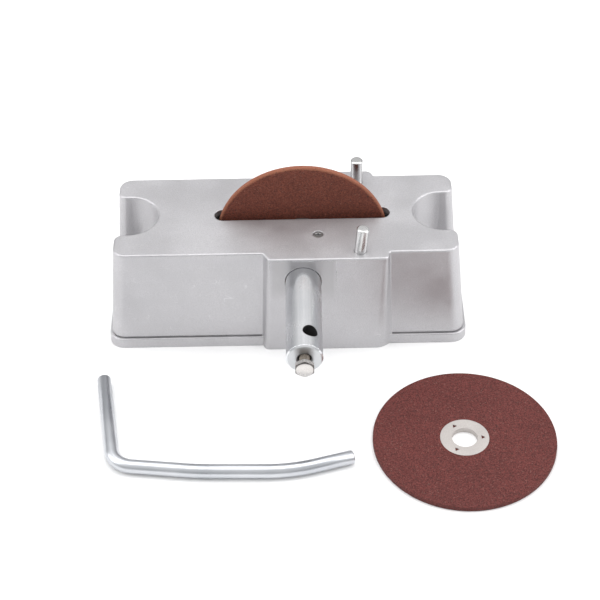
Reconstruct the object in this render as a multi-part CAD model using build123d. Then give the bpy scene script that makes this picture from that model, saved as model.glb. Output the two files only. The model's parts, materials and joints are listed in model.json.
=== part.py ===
from build123d import *

import os
from math import cos, radians, sin, tan

# Bench grinder for sharpening drill bits, all sizes in millimetres.
# X runs along the table, Y points to the back, Z up. The origin is midway between the two
# hold-down bolt holes, on the plane that the casting stands on.

# Grinding disc and the stack that clamps it
disc_d = 100.0  # new disc
disc_t = 3.2
disc_wear = 0.9  # the fitted disc has lost this much of its radius
disc_bore = 14.0
ring_d = 26.6  # steel hub ring let into each face
ring_t = 0.5
ring_mark_r = 9.9  # three staking marks on this radius
ring_mark_size = 1.5
washer_d = 20.8  # clamping washer behind the disc
washer_t = 3.0
spring_washer_d = 18.0
spring_washer_t = 2.2
spring_washer_gap = 1.6
nut_across_flats = 18.0
nut_t = 6.0
thrust_washer_d = 18.0
thrust_washer_t = 1.5

# Spindle
spindle_d = 20.0
spindle_stickout = 62.0  # bare shaft in front of the casting
thread_d = 12.0
journal_d = 10.0
groove_depth = 2.7  # of the groove that the retaining pin sits in
spindle_chamfer = 1.0
cross_hole_d = 8.2
cross_hole_from_end = 12.4
cross_hole_lean = 20.5  # degrees from upright, towards +X
floor_gap = 0.5  # under the fitted disc
table_over_spindle = 5.9  # from the top of the bare shaft to the table

# Clamp bolt in the spindle's front end
clamp_d = 6.0
clamp_shank = 12.0
clamp_exposed = 4.3
clamp_across_flats = 10.0
clamp_head_t = 4.0
clamp_tapped_depth = 22.0
clamp_countersink_d = 9.0

# Casting
table_length = 193.4
table_depth = 67.4
front_ledge = 1.8  # the table's front edge stands this much further out than its back edge
wall = 4.6
top_wall = 4.6
wall_draft = 4.92  # degrees
corner_r = 7.5
top_edge_r = 1.0
flange_h = 6.4
flange_lip = 1.1
flange_draft = 2.0
flange_edge_r = 0.8
lip_groove_h = 0.9
lip_groove_depth = 0.7
spindle_x = 9.4
hold_down_inset = 7.2  # from the ends of the table
hold_down_hole_d = 9.0
notch_r = 16.8
notch_lip_r = 4.5
slot_width = 9.8
slot_forward = 0.8  # the slot is set to the front of the disc by this much
slot_end_gap = 1.0

# Front boss: where its sides leave the wall and reach its face, at the table and at the foot
boss_out = 5.8
boss_foot_out = 4.6
boss_left = (-12.8, -9.5)
boss_left_foot = (-15.0, -12.8)
boss_right = (57.9, 56.9)
boss_right_foot = (60.2, 54.0)
boss_left_r = 3.0
boss_left_foot_r = 3.5
boss_right_r = 3.3
boss_right_foot_r = 10.0
boss_root_r = 1.2
# Rear boss
rear_boss_out = 4.8
rear_boss_foot_out = 3.6
rear_boss_left = (-14.2, -12.2)
rear_boss_right = (51.6, 49.8)
rear_boss_r = 4.5
# Milled flat around the spindle on the front boss
mill_width = 37.0
mill_from_top = 1.3
mill_height = 30.0
mill_depth = 0.45

# Bearings inside the casting
bush_wall = 2.0
front_bush_length = 16.0
front_bush_inset = 1.6
rear_bush_length = 16.0
bearing_boss_wall = 4.5
mouth_gap = 0.25  # the bore opens out round the spindle at the front face
axial_play = 0.3
running_gap = 0.05  # radial clearance of shafts that turn or slide
loose_gap = 0.4  # radial clearance where nothing bears

# Retaining pin and its grub screw, tangent to the spindle
retainer_y = -19.5
retainer_pin_d = 3.0
retainer_below_axis = 4.0
grub_d = 6.0
grub_length = 7.5
grub_sink = 0.3
grub_socket = 3.0
grub_socket_depth = 2.5

# Table pins
pin_d = 7.0
pin_height = 16.2
pin_depth = 18.0
pin_chamfer = 0.7
pin_x = 41.5
front_pin_y = -34.2
rear_pin_y = 27.8
front_pin_lean = 5.0  # degrees towards +X
pin_boss_wall = 4.0
pin_foot_gap = 1.0  # below the pin, in its blind hole

# Crank rod, lying on the bench in front
rod_d = 7.8
rod_end_xy = (-104.2, -69.6)
rod_heading = -81.3  # degrees from +X, along the short leg
rod_legs = (66.4, 46.0, 50.0, 34.5)
rod_turns = (74.5, 5.5, 17.5)
rod_bend_r = (13.0, 150.0, 90.0)
rod_chamfer = 0.8

# Spare disc, lying flat beside the rod
spare_xy = (95.5, -118.9)

# Worked out from the above
fitted_disc_r = disc_d / 2 - disc_wear
spindle_z = fitted_disc_r + floor_gap
table_z = spindle_z + spindle_d / 2 + table_over_spindle
cavity_z = table_z - top_wall
half_length = table_length / 2
hold_down_spacing = table_length - 2 * hold_down_inset
half_depth = table_depth / 2
foot_spread = table_z * tan(radians(wall_draft))
foot_half_length = half_length + foot_spread
foot_half_depth = half_depth + foot_spread
slot_half = fitted_disc_r + slot_end_gap
spindle_r = spindle_d / 2
groove_d = spindle_d - 2 * groove_depth
bore_r = spindle_r + running_gap
clamp_face_y = -disc_t / 2
washer_y = disc_t / 2
spring_y = washer_y + washer_t
nut_y = spring_y + spring_washer_t
thrust_y = nut_y + nut_t + 0.8
rear_boss_y = thrust_y + thrust_washer_t + axial_play
seat_r = disc_bore / 2 - running_gap
retainer_x = spindle_x + groove_d / 2 + retainer_pin_d / 2 + running_gap


def front_face_y(z):
    """Depth of the front boss's drafted face at height z."""
    top, foot = half_depth + front_ledge + boss_out, foot_half_depth + boss_foot_out
    return -(foot + (top - foot) * z / table_z)


def rear_face_y(z):
    """Depth of the rear boss's drafted face at height z."""
    top, foot = half_depth + rear_boss_out, foot_half_depth + rear_boss_foot_out
    return foot + (top - foot) * z / table_z


def wall_inset(z):
    """How far the drafted walls stand outside the table's edge at height z."""
    return (table_z - z) * tan(radians(wall_draft))


boss_face_y = front_face_y(spindle_z)
spindle_front_y = boss_face_y - spindle_stickout
front_boss_end_y = retainer_y + retainer_pin_d / 2 + bearing_boss_wall
spindle_rear_y = rear_face_y(spindle_z) - 1.0
front_bush_y = boss_face_y + front_bush_inset


def cylinder_y(radius, y_from, y_to):
    """Cylinder on the spindle's axis."""
    length = y_to - y_from
    return Pos(spindle_x, (y_from + y_to) / 2, spindle_z) * Rot(90, 0, 0) * Cylinder(radius, length)


def cone_y(front_radius, rear_radius, y_from, y_to):
    """Cone on the spindle's axis, for countersinks and chamfers."""
    length = y_to - y_from
    centre = Pos(spindle_x, (y_from + y_to) / 2, spindle_z)
    return centre * Rot(90, 0, 0) * Cone(rear_radius, front_radius, length)


def upright(radius, x, y, z_from, z_to):
    """Upright cylinder between two heights."""
    return Pos(x, y, (z_from + z_to) / 2) * Cylinder(radius, z_to - z_from)


def block(x_range, y_range, z_range):
    """Box between two corners."""
    size = [high - low for low, high in (x_range, y_range, z_range)]
    middle = [(high + low) / 2 for low, high in (x_range, y_range, z_range)]
    return Pos(*middle) * Box(*size)


def plan_outline(z, length, depth, front, front_out, rear_out, left, right, left_r, right_r):
    """Plan of the casting at one height: the table with a boss on its front and its back."""
    rear_left, rear_right = rear_boss_left, rear_boss_right
    points = [
        (-length, -front),
        (left[0], -front),
        (left[1], -front - front_out),
        (right[1], -front - front_out),
        (right[0], -front),
        (length, -front),
        (length, depth),
        (rear_right[0], depth),
        (rear_right[1], depth + rear_out),
        (rear_left[1], depth + rear_out),
        (rear_left[0], depth),
        (-length, depth),
    ]
    radii = [corner_r, boss_root_r, left_r, right_r, boss_root_r, corner_r]
    radii += [corner_r, boss_root_r, rear_boss_r, rear_boss_r, boss_root_r, corner_r]
    edge = FilletPolyline(*[(x, y, z) for x, y in points], radius=radii, close=True)
    return make_face(edge)


def rounded_plan(z, length, depth, radius):
    """Rounded rectangle at one height, from half sizes."""
    return Pos(0, 0, z) * RectangleRounded(2 * length, 2 * depth, radius)


def notch(grow, z_from, z_to):
    """Both end notches as one tool, grown by a wall where they shape the cavity."""
    height = z_to - z_from
    radius = notch_r + grow
    reach = foot_half_length + flange_lip + 1
    tool = []
    for side in (-1, 1):
        centre_x = side * hold_down_spacing / 2
        middle_x = (centre_x + side * reach) / 2
        tool.append(upright(radius, centre_x, 0, z_from, z_to))
        channel = Box(abs(side * reach - centre_x), 2 * radius, height)
        tool.append(Pos(middle_x, 0, (z_from + z_to) / 2) * channel)
    return tool


def casting_shell():
    """Drafted outside of the casting with notches and rounded edges, still solid inside."""
    top = plan_outline(
        table_z, half_length, half_depth, half_depth + front_ledge, boss_out, rear_boss_out,
        boss_left, boss_right, boss_left_r, boss_right_r,
    )
    foot = plan_outline(
        0, foot_half_length, foot_half_depth, foot_half_depth, boss_foot_out, rear_boss_foot_out,
        boss_left_foot, boss_right_foot, boss_left_foot_r, boss_right_foot_r,
    )
    shell = loft([foot, top], ruled=True)
    shell -= notch(0, flange_h, table_z + 1)
    lips = []
    for edge in shell.edges():
        middle = edge.position_at(0.5)
        upright_edge = edge.length > (table_z - flange_h) * 0.9
        on_notch = abs(abs(middle.Y) - notch_r) < 0.01
        if upright_edge and on_notch and abs(middle.X) > half_length:
            lips.append(edge)
    shell = fillet(lips, notch_lip_r)
    rim = shell.faces().sort_by(Axis.Z)[-1].edges()
    return fillet(rim, top_edge_r)


def foot_flange():
    """Flange round the foot, which also floors the notches and takes the hold-down bolts."""
    foot_length = foot_half_length + flange_lip
    foot_depth = foot_half_depth + flange_lip
    shrink = flange_h * tan(radians(flange_draft))
    radius = corner_r + flange_lip
    foot = rounded_plan(0, foot_length, foot_depth, radius)
    top = rounded_plan(flange_h, foot_length - shrink, foot_depth - shrink, radius - shrink)
    flange = loft([foot, top], ruled=True)
    return fillet(flange.faces().sort_by(Axis.Z)[-1].edges(), flange_edge_r)


def lip_groove():
    """Thin groove that sets the wall off from the flange, left out where the bosses run down."""
    level = flange_h + lip_groove_h / 2
    outset = wall_inset(level) - lip_groove_depth
    reach = foot_half_length + 5
    ring = block((-reach, reach), (-reach, reach), (flange_h, flange_h + lip_groove_h))
    ring -= Pos(0, 0, level) * extrude(
        RectangleRounded(2 * (half_length + outset), 2 * (half_depth + outset), corner_r),
        lip_groove_h, both=True,
    )
    ring -= block((boss_left_foot[0], boss_right_foot[0]), (-reach, 0), (0, table_z))
    return ring - block((rear_boss_left[0], rear_boss_right[0]), (0, reach), (0, table_z))


def cavity():
    """Open underside of the casting, drafted with the walls and clear of the notch walls."""
    foot_out = wall_inset(-1) - wall
    top_out = wall_inset(cavity_z) - wall
    inner_r = max(corner_r - wall, 1.0)
    foot = rounded_plan(-1, half_length + foot_out, half_depth + foot_out, inner_r)
    top = rounded_plan(cavity_z, half_length + top_out, half_depth + top_out, inner_r)
    room = loft([foot, top], ruled=True)
    return room - notch(wall, -2, cavity_z + 1)


def inner_bosses():
    """Bearing and pin bosses that hang inside the casting."""
    front = cylinder_y(bore_r + bush_wall + bearing_boss_wall, front_face_y(0), front_boss_end_y)
    rear = cylinder_y(
        journal_d / 2 + bush_wall + bearing_boss_wall, rear_boss_y, rear_face_y(0)
    )
    pin_boss_r = pin_d / 2 + pin_boss_wall
    pin_floor = table_z - pin_depth - pin_foot_gap - pin_boss_wall
    pins = [upright(pin_boss_r, pin_x, y, pin_floor, table_z) for y in (front_pin_y, rear_pin_y)]
    screw_x = (retainer_x - grub_d, retainer_x + grub_d / 2 + bearing_boss_wall)
    screw_y = (front_face_y(table_z) + 1, front_boss_end_y)
    screw = block(screw_x, screw_y, (spindle_z - retainer_below_axis - 3, table_z))
    return [front, rear, screw] + pins


def front_pin_axis():
    """Frame of the leaning front pin: its origin is where the axis meets the table."""
    return Pos(pin_x, front_pin_y, table_z) * Rot(0, front_pin_lean, 0)


def housing():
    outside = casting_shell() + foot_flange()
    body = outside - cavity()
    body += [boss & outside for boss in inner_bosses()]
    body -= lip_groove()

    # Slot for the disc, and room below the table for the disc to turn in
    slot = SlotOverall(2 * slot_half, slot_width)
    body -= Pos(spindle_x, -slot_forward, cavity_z - 1) * extrude(slot, top_wall + 2)
    reach = foot_half_length
    slot_front, slot_rear = -slot_width / 2 - slot_forward, slot_width / 2 - slot_forward
    below_table = block((-reach, reach), (-reach, reach), (-2, cavity_z - 0.5))
    body -= cylinder_y(slot_half, slot_front, slot_rear) & below_table

    # Front bearing: bore, seat of the bush and the opened mouth
    body -= cylinder_y(spindle_r + loose_gap, front_bush_y, front_boss_end_y + 1)
    body -= cylinder_y(bore_r + bush_wall, front_bush_y, front_bush_y + front_bush_length)
    body -= cylinder_y(spindle_r + mouth_gap, front_face_y(0) - 1, front_bush_y)

    # Rear bearing
    rear_bush_end = rear_boss_y + rear_bush_length
    body -= cylinder_y(journal_d / 2 + loose_gap, rear_boss_y - 1, rear_face_y(0) + 1)
    body -= cylinder_y(journal_d / 2 + running_gap + bush_wall, rear_boss_y - 1, rear_bush_end)

    # Retaining pin and grub screw
    pin_foot = spindle_z - retainer_below_axis
    grub_foot = table_z - grub_sink - grub_length
    pin_hole_r = retainer_pin_d / 2 + running_gap
    body -= upright(pin_hole_r, retainer_x, retainer_y, pin_foot, table_z)
    body -= upright(grub_d / 2 + running_gap, retainer_x, retainer_y, grub_foot, table_z + 1)

    # Blind holes of the table pins
    hole_r = pin_d / 2 + running_gap
    hole_depth = pin_depth + pin_foot_gap
    body -= upright(hole_r, pin_x, rear_pin_y, table_z - hole_depth, table_z + 1)
    body -= front_pin_axis() * Pos(0, 0, (2 - hole_depth) / 2) * Cylinder(hole_r, hole_depth + 2)

    # Milled flat, deepest at its top edge
    mill_top = table_z - mill_from_top
    mill_foot = mill_top - mill_height
    outer_y = front_face_y(0) - 5
    profile = Plane.YZ * Polyline(
        (front_face_y(mill_top) + mill_depth, mill_top),
        (front_face_y(mill_foot), mill_foot),
        (outer_y, mill_foot),
        (outer_y, mill_top),
        close=True,
    )
    mill = extrude(make_face(profile), mill_width / 2, both=True, dir=(1, 0, 0))
    body -= Pos(spindle_x, 0, 0) * mill

    # Hold-down holes
    for side in (-1, 1):
        hole_x = side * hold_down_spacing / 2
        body -= upright(hold_down_hole_d / 2, hole_x, 0, -1, flange_h + 1)
    return body


def front_bush():
    end = front_bush_y + front_bush_length
    return cylinder_y(bore_r + bush_wall, front_bush_y, end) - cylinder_y(bore_r, front_bush_y, end)


def rear_bush():
    inner = journal_d / 2 + running_gap
    end = rear_boss_y + rear_bush_length
    return cylinder_y(inner + bush_wall, rear_boss_y, end) - cylinder_y(inner, rear_boss_y, end)


def clamp_hole_r():
    return clamp_d / 2 + running_gap


def spindle():
    shaft = cylinder_y(spindle_r, spindle_front_y + spindle_chamfer, clamp_face_y)
    shaft += cone_y(
        spindle_r - spindle_chamfer, spindle_r, spindle_front_y, spindle_front_y + spindle_chamfer
    )
    shaft += cylinder_y(seat_r, clamp_face_y, spring_y - 0.4)
    shaft += cylinder_y(thread_d / 2, spring_y - 0.4, thrust_y)
    shaft += cylinder_y(journal_d / 2, thrust_y, spindle_rear_y - 0.5)
    shaft += cone_y(journal_d / 2, journal_d / 2 - 0.5, spindle_rear_y - 0.5, spindle_rear_y)
    half_groove = retainer_pin_d / 2 + running_gap * 2
    groove_ends = retainer_y - half_groove, retainer_y + half_groove
    groove = cylinder_y(spindle_r + 1, *groove_ends) - cylinder_y(groove_d / 2, *groove_ends)
    shaft -= groove
    tapped_end = spindle_front_y + clamp_tapped_depth
    shaft -= cylinder_y(clamp_hole_r(), spindle_front_y - 1, tapped_end)
    sink = clamp_countersink_d / 2 - clamp_hole_r()
    shaft -= cone_y(
        clamp_countersink_d / 2, clamp_hole_r(), spindle_front_y, spindle_front_y + sink
    )
    across = Pos(spindle_x, spindle_front_y + cross_hole_from_end, spindle_z)
    shaft -= across * Rot(0, cross_hole_lean, 0) * Cylinder(cross_hole_d / 2, spindle_d + 2)
    return shaft


def retaining_pin():
    foot = spindle_z - retainer_below_axis
    head = table_z - grub_sink - grub_length
    return upright(retainer_pin_d / 2, retainer_x, retainer_y, foot, head)


def hexagon_prism(across_flats, height):
    return extrude(RegularPolygon(across_flats / 2, 6, major_radius=False), height)


def retaining_screw():
    top = table_z - grub_sink
    screw = upright(grub_d / 2, retainer_x, retainer_y, top - grub_length, top)
    rim = screw.edges().group_by(Axis.Z)[-1]
    screw = chamfer(rim, 0.4)
    socket = hexagon_prism(grub_socket, grub_socket_depth + 1)
    return screw - Pos(retainer_x, retainer_y, top - grub_socket_depth) * socket


def disc_marks(depth):
    """Three triangular staking marks, cut down from z = 0."""
    marks = []
    for turn in (0, 120, 240):
        place = Rot(0, 0, turn) * Pos(ring_mark_r, 0, -depth)
        marks.append(place * extrude(RegularPolygon(ring_mark_size, 3), depth + 1))
    return marks


def disc_blank(radius):
    """Abrasive disc lying on z = 0 with a recess for a hub ring in each face."""
    blank = Pos(0, 0, disc_t / 2) * Cylinder(radius, disc_t)
    blank = fillet(blank.edges(), 0.4)
    blank -= Pos(0, 0, disc_t / 2) * Cylinder(disc_bore / 2, disc_t + 1)
    for level in (ring_t / 2, disc_t - ring_t / 2):
        blank -= Pos(0, 0, level) * Cylinder(ring_d / 2, ring_t)
    return blank - [Pos(0, 0, disc_t) * mark for mark in disc_marks(ring_t + 0.6)]


def hub_ring():
    """Steel ring lying on z = 0 with three staking marks through it."""
    middle = Pos(0, 0, ring_t / 2)
    ring = middle * Cylinder(ring_d / 2, ring_t) - middle * Cylinder(disc_bore / 2, ring_t + 1)
    return ring - [Pos(0, 0, ring_t) * mark for mark in disc_marks(ring_t + 0.5)]


def on_spindle(piece):
    """Turn a piece that lies on z = 0 on to the spindle, its foot on the clamping face."""
    return Pos(spindle_x, clamp_face_y, spindle_z) * Rot(-90, 0, 0) * piece


def on_bench(piece):
    return Pos(*spare_xy, 0) * piece


def clamp_washer():
    end = washer_y + washer_t
    return cylinder_y(washer_d / 2, washer_y, end) - cylinder_y(disc_bore / 2, washer_y, end)


def spring_washer():
    end = spring_y + spring_washer_t
    bore = thread_d / 2 + running_gap
    washer = cylinder_y(spring_washer_d / 2, spring_y, end) - cylinder_y(bore, spring_y, end)
    half_gap = spring_washer_gap / 2
    gap = block(
        (spindle_x - half_gap, spindle_x + half_gap), (spring_y - 1, end + 1),
        (spindle_z, spindle_z + spring_washer_d),
    )
    return washer - gap


def spindle_nut():
    across_corners = nut_across_flats / cos(radians(30))
    centre = Pos(spindle_x, nut_y + nut_t, spindle_z) * Rot(90, 0, 0)
    nut = centre * hexagon_prism(nut_across_flats, nut_t)
    nut -= cylinder_y(thread_d / 2 + running_gap, nut_y - 1, nut_y + nut_t + 1)
    # Both faces are turned down at the corners
    bevel = 1.0
    round_r = across_corners / 2
    middle = cylinder_y(round_r + 1, nut_y + bevel, nut_y + nut_t - bevel)
    front = cone_y(round_r - bevel, round_r + 0.4, nut_y, nut_y + bevel)
    rear = cone_y(round_r + 0.4, round_r - bevel, nut_y + nut_t - bevel, nut_y + nut_t)
    return nut & (middle + front + rear)


def thrust_washer():
    end = thrust_y + thrust_washer_t
    bore = journal_d / 2 + running_gap
    return cylinder_y(thrust_washer_d / 2, thrust_y, end) - cylinder_y(bore, thrust_y, end)


def clamp_bolt():
    seat = spindle_front_y - clamp_exposed
    head_front = seat - clamp_head_t
    tip = seat + clamp_shank
    bolt = cylinder_y(clamp_d / 2, seat, tip - 0.8)
    bolt += cone_y(clamp_d / 2, clamp_d / 2 - 0.8, tip - 0.8, tip)
    head = Pos(spindle_x, seat, spindle_z) * Rot(90, 0, 0)
    head = head * hexagon_prism(clamp_across_flats, clamp_head_t)
    crown = clamp_across_flats / 2 - 0.3
    bevel = 1.2
    keep = cone_y(crown, crown + bevel, head_front, head_front + bevel)
    keep += cylinder_y(crown + bevel, head_front + bevel, seat)
    return bolt + (head & keep)


def table_pin():
    """Steady pin standing on its own axis, z = 0 at the table."""
    length = pin_height + pin_depth
    pin = Pos(0, 0, pin_height - length / 2) * Cylinder(pin_d / 2, length)
    return chamfer(pin.edges().filter_by(GeomType.CIRCLE), pin_chamfer)


def front_pin():
    return front_pin_axis() * table_pin()


def rear_pin():
    return Pos(pin_x, rear_pin_y, table_z) * table_pin()


def crank_rod():
    """Round rod bent to a crank: a short hand leg, a long arm and a slight set near its end."""
    heading = rod_heading
    x, y = rod_end_xy
    points = [(x, y, rod_d / 2)]
    for leg, turn in zip(rod_legs, rod_turns + (0,)):
        x += leg * cos(radians(heading))
        y += leg * sin(radians(heading))
        points.append((x, y, rod_d / 2))
        heading += turn
    path = FilletPolyline(*points, radius=list(rod_bend_r))
    section = Plane(origin=points[0], z_dir=path % 0) * Circle(rod_d / 2)
    rod = sweep(section, path=path)
    flat_ends = rod.faces().filter_by(GeomType.PLANE)
    return chamfer(flat_ends.edges(), rod_chamfer)


def flipped(piece, thickness):
    return Pos(0, 0, thickness) * Rot(180, 0, 0) * piece


def write(name, shape):
    export_step(shape, f"parts/{name}.step")


def main():
    os.makedirs("parts", exist_ok=True)
    write("housing", housing())
    write("front_bush", front_bush())
    write("rear_bush", rear_bush())
    write("spindle", spindle())
    write("retaining_pin", retaining_pin())
    write("retaining_screw", retaining_screw())
    write("clamp_washer", clamp_washer())
    write("spring_washer", spring_washer())
    write("spindle_nut", spindle_nut())
    write("thrust_washer", thrust_washer())
    write("clamp_bolt", clamp_bolt())
    write("front_pin", front_pin())
    write("rear_pin", rear_pin())
    write("crank_rod", crank_rod())

    lower_ring = flipped(hub_ring(), ring_t)
    upper_ring = Pos(0, 0, disc_t - ring_t) * hub_ring()
    write("fitted_disc", on_spindle(disc_blank(fitted_disc_r)))
    write("fitted_ring_front", on_spindle(lower_ring))
    write("fitted_ring_rear", on_spindle(upper_ring))
    write("spare_disc", on_bench(disc_blank(disc_d / 2)))
    write("spare_ring_lower", on_bench(lower_ring))
    write("spare_ring_upper", on_bench(upper_ring))
    print("table", round(table_z, 2), "spindle", round(spindle_z, 2))
    print("boss face", round(boss_face_y, 2), "spindle front", round(spindle_front_y, 2))
    print("rear boss from", round(rear_boss_y, 2), "spindle rear", round(spindle_rear_y, 2))
    print("foot half sizes", round(foot_half_length, 2), round(foot_half_depth, 2))


main()
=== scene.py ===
# %% [markdown]
# # A hand-cranked drill bit sharpener
# The machine is a small cast table with a grinding disc that stands up through a slot, a bare
# spindle in front, two steady pins, a bent rod that serves as its crank and a spare disc. The
# solid model comes first and stays as it is. This lesson dresses it: each cell makes one finish
# or one piece, and prints what it made.

# %% Load the frame
import json
import math

import bmesh
import bpy
from mathutils import Matrix, Vector


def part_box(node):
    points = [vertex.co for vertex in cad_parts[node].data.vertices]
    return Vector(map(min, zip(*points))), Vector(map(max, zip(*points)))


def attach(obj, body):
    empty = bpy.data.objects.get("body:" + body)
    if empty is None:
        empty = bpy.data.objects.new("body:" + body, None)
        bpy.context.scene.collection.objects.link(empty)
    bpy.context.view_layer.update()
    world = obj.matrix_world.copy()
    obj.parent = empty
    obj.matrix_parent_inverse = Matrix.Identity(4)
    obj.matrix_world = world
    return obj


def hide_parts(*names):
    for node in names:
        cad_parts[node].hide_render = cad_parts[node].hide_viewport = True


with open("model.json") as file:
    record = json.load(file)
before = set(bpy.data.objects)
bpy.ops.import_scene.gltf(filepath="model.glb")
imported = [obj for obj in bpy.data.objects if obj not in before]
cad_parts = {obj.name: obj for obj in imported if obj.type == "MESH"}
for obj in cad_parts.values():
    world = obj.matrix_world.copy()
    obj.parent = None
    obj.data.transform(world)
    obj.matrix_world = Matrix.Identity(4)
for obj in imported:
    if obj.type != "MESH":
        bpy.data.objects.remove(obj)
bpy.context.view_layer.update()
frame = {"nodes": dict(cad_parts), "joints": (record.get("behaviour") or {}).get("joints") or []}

# %% [markdown]
# A long lens far away keeps the table's long edges nearly parallel, so lengths can be compared.
# The camera is placed by its direction, its distance and the point that it looks at, so that
# each number means something by itself.

# %% Camera
looks_at = Vector((0.0072, 0.0, -0.0015))
distance = 0.9664
elevation, heading, roll = math.radians(42.02), math.radians(0.234), math.radians(-1.185)
back = Vector((
    math.sin(heading) * math.cos(elevation),
    -math.cos(heading) * math.cos(elevation),
    math.sin(elevation),
))
level = back.cross(Vector((0, 0, -1))).normalized()
upward = level.cross(-back)
right = level * math.cos(roll) + upward * math.sin(roll)
top = upward * math.cos(roll) - level * math.sin(roll)

camera_data = bpy.data.cameras.new("studio_camera")
camera_data.sensor_width = 36.0
camera_data.lens = 96.72
camera_data.clip_start = 0.05
camera = bpy.data.objects.new("studio_camera", camera_data)
bpy.context.scene.collection.objects.link(camera)
turn = Matrix((right, top, back)).transposed()
camera.matrix_world = Matrix.Translation(looks_at + back * distance) @ turn.to_4x4()
bpy.context.scene.camera = camera
print("camera at", [round(v, 3) for v in camera.matrix_world.translation])

# %% [markdown]
# Node trees are easier to read when each node takes one line. The first helper adds a node, sets
# its options, and fills its inputs with values, sockets or nodes (their first output).


# %% Helpers for node trees
def put(tree, kind, inputs=None, **options):
    node = tree.nodes.new(kind)
    for name, value in options.items():
        setattr(node, name, value)
    for name, value in (inputs or {}).items():
        socket = node.inputs[name]
        if isinstance(value, bpy.types.Node):
            value = value.outputs[0]
        if isinstance(value, bpy.types.NodeSocket):
            tree.links.new(value, socket)
        else:
            socket.default_value = value
    return node


def maths(tree, operation, *values):
    return put(tree, "ShaderNodeMath", dict(enumerate(values)), operation=operation).outputs[0]


def times(tree, *values):
    product = values[0]
    for value in values[1:]:
        product = maths(tree, "MULTIPLY", product, value)
    return product


def vector(tree, operation, *values):
    node = put(tree, "ShaderNodeVectorMath", dict(enumerate(values)), operation=operation)
    return node.outputs["Value" if operation in ("LENGTH", "DISTANCE", "DOT_PRODUCT") else "Vector"]


def parts(tree, value):
    return put(tree, "ShaderNodeSeparateXYZ", {0: value}).outputs


def spread(tree, value, low, high, out_low=0.0, out_high=1.0):
    """Stretch the span from low to high to the span of the output, with soft ends."""
    inputs = {"Value": value, "From Min": low, "From Max": high, "To Min": out_low, "To Max": out_high}
    return put(tree, "ShaderNodeMapRange", inputs, interpolation_type="SMOOTHSTEP").outputs[0]


def blend(tree, factor, first, second):
    return put(tree, "ShaderNodeMix", {0: factor, 6: first, 7: second}, data_type="RGBA").outputs[2]


def lay_over(tree, colour, *coats):
    """Lay coats over a colour: for each a mask, the most that it covers, and its own colour."""
    for mask, most, coat in coats:
        colour = blend(tree, times(tree, mask, most), colour, coat)
    return colour


def name_inputs(tree, inputs):
    """Give a tree its named inputs. A value's type is its socket's kind; None is a material."""
    kinds = {float: "Float", int: "Int", tuple: "Vector", type(None): "Material"}
    for label, value in inputs.items():
        kind = "NodeSocket" + kinds[type(value)]
        socket = tree.interface.new_socket(name=label, in_out="INPUT", socket_type=kind)
        if value is not None:
            socket.default_value = value


def new_group(name, inputs, outputs):
    """An empty shader group with its sockets."""
    tree = bpy.data.node_groups.new(name, "ShaderNodeTree")
    name_inputs(tree, inputs)
    for label, kind in outputs.items():
        tree.interface.new_socket(name=label, in_out="OUTPUT", socket_type="NodeSocket" + kind)
    return tree, put(tree, "NodeGroupInput").outputs, put(tree, "NodeGroupOutput").inputs


def place_group(tree, group, **inputs):
    inputs = {name.replace("_", " "): value for name, value in inputs.items()}
    return put(tree, "ShaderNodeGroup", inputs, node_tree=group).outputs


print("node helpers ready")

# %% [markdown]
# A cast or blasted surface is a field of tiny dents of about half a millimetre, over slow cloudy
# patches where the metal cooled differently. Two noises and a cell texture make both, and the
# group gives them out apart, so that each finish can weigh them for itself.

# %% Shader group: blasted grain
blasted_grain, given, result = new_group(
    "blasted_grain", {"Where": (0.0, 0.0, 0.0), "Grains per metre": 1500.0},
    {"Height": "Float", "Patches": "Float", "Speckle": "Float"},
)
tree = blasted_grain
fine = put(tree, "ShaderNodeTexNoise", {
    "Vector": given["Where"], "Scale": given["Grains per metre"], "Detail": 3.0, "Roughness": 0.65,
})
cells = put(tree, "ShaderNodeTexVoronoi", {
    "Vector": given["Where"], "Scale": times(tree, given["Grains per metre"], 0.8),
})
slow = put(tree, "ShaderNodeTexNoise", {"Vector": given["Where"], "Scale": 38.0, "Detail": 5.0})
dents = spread(tree, cells.outputs["Distance"], 0.0, 0.7)
height = maths(tree, "MULTIPLY_ADD", dents, 0.5, times(tree, fine.outputs[0], 0.5))
tree.links.new(height, result["Height"])
tree.links.new(spread(tree, slow.outputs[0], 0.3, 0.7), result["Patches"])
tree.links.new(spread(tree, fine.outputs[0], 0.35, 0.65), result["Speckle"])
print("blasted_grain:", len(tree.nodes), "nodes")

# %% [markdown]
# Handling leaves a few thin scratches. A stretched noise has long curved contour lines, so the
# narrow band around one value of it is a set of hairlines. A second, slow noise lets only some
# of them through.

# %% Shader group: hairline scratches
hairlines, given, result = new_group(
    "hairlines", {"Where": (0.0, 0.0, 0.0), "Stretch": (220.0, 40.0, 220.0), "Width": 0.008},
    {"Mask": "Float"},
)
tree = hairlines
stretched = vector(tree, "MULTIPLY", given["Where"], given["Stretch"])
lines = put(tree, "ShaderNodeTexNoise", {
    "Vector": stretched, "Scale": 1.6, "Detail": 1.0, "Distortion": 0.4,
})
few = put(tree, "ShaderNodeTexNoise", {"Vector": given["Where"], "Scale": 130.0, "Detail": 1.0})
away = maths(tree, "ABSOLUTE", maths(tree, "SUBTRACT", lines.outputs[0], 0.5))
band = maths(tree, "SUBTRACT", 1.0, spread(tree, maths(tree, "DIVIDE", away, given["Width"]), 0.3, 1.0))
passed = spread(tree, few.outputs[0], 0.58, 0.66)
tree.links.new(times(tree, band, passed), result["Mask"])
print("hairlines:", len(tree.nodes), "nodes")

# %% [markdown]
# Every real edge is a little round and rubbed bright. The Bevel node gives the normal that a
# rounded edge would have. Where it differs from the true normal there is an edge, which makes a
# mask for wear, and the rounded normal itself takes the computer-sharp look off the casting.

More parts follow.
